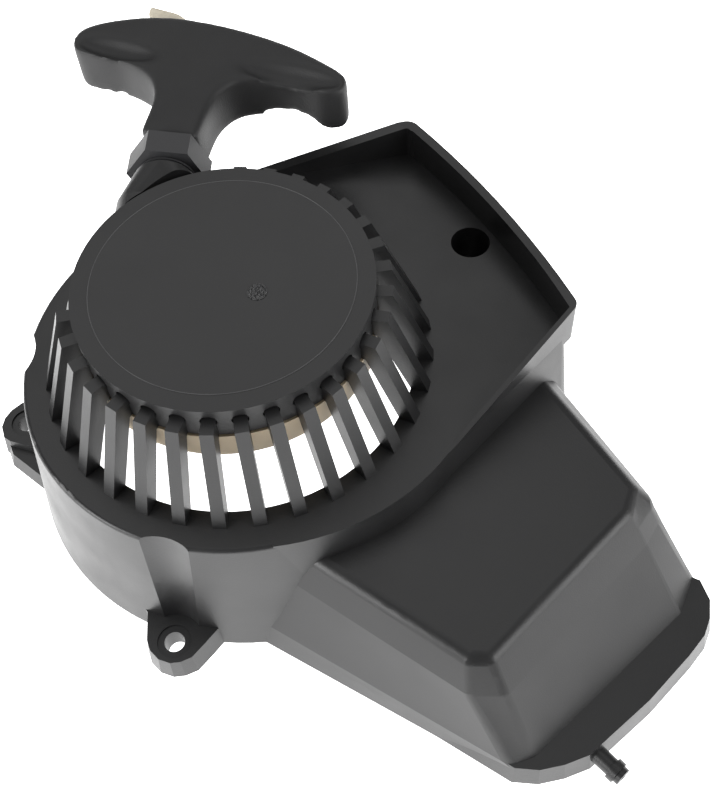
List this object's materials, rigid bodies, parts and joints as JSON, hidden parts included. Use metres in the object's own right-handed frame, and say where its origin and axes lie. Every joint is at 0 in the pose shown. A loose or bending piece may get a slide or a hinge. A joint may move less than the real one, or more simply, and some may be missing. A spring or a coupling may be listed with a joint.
{
  "type": "recoil starter",
  "caption": "Pull starter for a small two-stroke engine: vented round housing with side duct and pod, rope reel, pawls and a T-shaped pull handle.",
  "frame": {"origin": "crank axis at the mounting face of the housing", "axes": "+Z along the crank axis away from the engine, towards the dome; +Y along the rope pull; +X towards the pod side"},
  "size_m": [0.2043, 0.2089, 0.0794],
  "materials": {
    "housing_plastic": "moulded black nylon, satin",
    "grip_plastic": "moulded black, fine texture",
    "nut_plastic": "moulded dark grey",
    "reel_plastic": "natural nylon, slightly translucent cream",
    "rope": "braided polyester, pale cream",
    "spring_steel": "blued spring steel",
    "zinc_steel": "zinc plated",
    "pawl_plastic": "glass-filled nylon"
  },
  "bodies": {
    "housing_body": {"housing": "housing_plastic", "rope_guide_nut": "nut_plastic", "recoil_spring": "spring_steel", "friction_spring": "spring_steel", "centre_washer": "zinc_steel", "centre_screw": "zinc_steel"},
    "handle_body": {"handle": "grip_plastic", "handle_knot": "rope", "rope_tail": "rope", "rope_run": "rope"},
    "reel_body": {"reel": "reel_plastic", "rope_wound": "rope", "reel_knot": "rope", "spring_cover": "zinc_steel", "spring_cover_screws": "zinc_steel", "pawl_pins": "zinc_steel", "pawl_spring_a": "spring_steel", "pawl_spring_b": "spring_steel"},
    "friction_plate_body": {"friction_plate": "zinc_steel"},
    "pawl_a_body": {"pawl_a": "pawl_plastic"},
    "pawl_b_body": {"pawl_b": "pawl_plastic"}
  },
  "joints": [
    {"name": "handle_pull", "type": "slide", "parent": "housing_body", "child": "handle_body", "axis": [0, 1, 0], "range_m": [0, 0.45], "stiffness_N_per_m": 20, "springref_m": -0.3},
    {"name": "reel_spin", "type": "hinge", "parent": "housing_body", "child": "reel_body", "pos_m": [0, 0, 0.06], "axis": [0, 0, 1], "range_deg": [-1600, 0]},
    {"name": "friction_plate_turn", "type": "hinge", "parent": "reel_body", "child": "friction_plate_body", "pos_m": [0, 0, 0.052], "axis": [0, 0, 1], "range_deg": [0, 24]},
    {"name": "pawl_a_swing", "type": "hinge", "parent": "reel_body", "child": "pawl_a_body", "pos_m": [0.019, 0, 0.055], "axis": [0, 0, 1], "range_deg": [-26, 0]},
    {"name": "pawl_b_swing", "type": "hinge", "parent": "reel_body", "child": "pawl_b_body", "pos_m": [-0.019, 0, 0.055], "axis": [0, 0, 1], "range_deg": [-26, 0]}
  ],
  "couplings": [
    {"joint": "reel_spin", "follows": "handle_pull", "rad_per_m": -58},
    {"joint": "pawl_a_swing", "follows": "friction_plate_turn", "ratio": -1.08},
    {"joint": "pawl_b_swing", "follows": "friction_plate_turn", "ratio": -1.08}
  ]
}
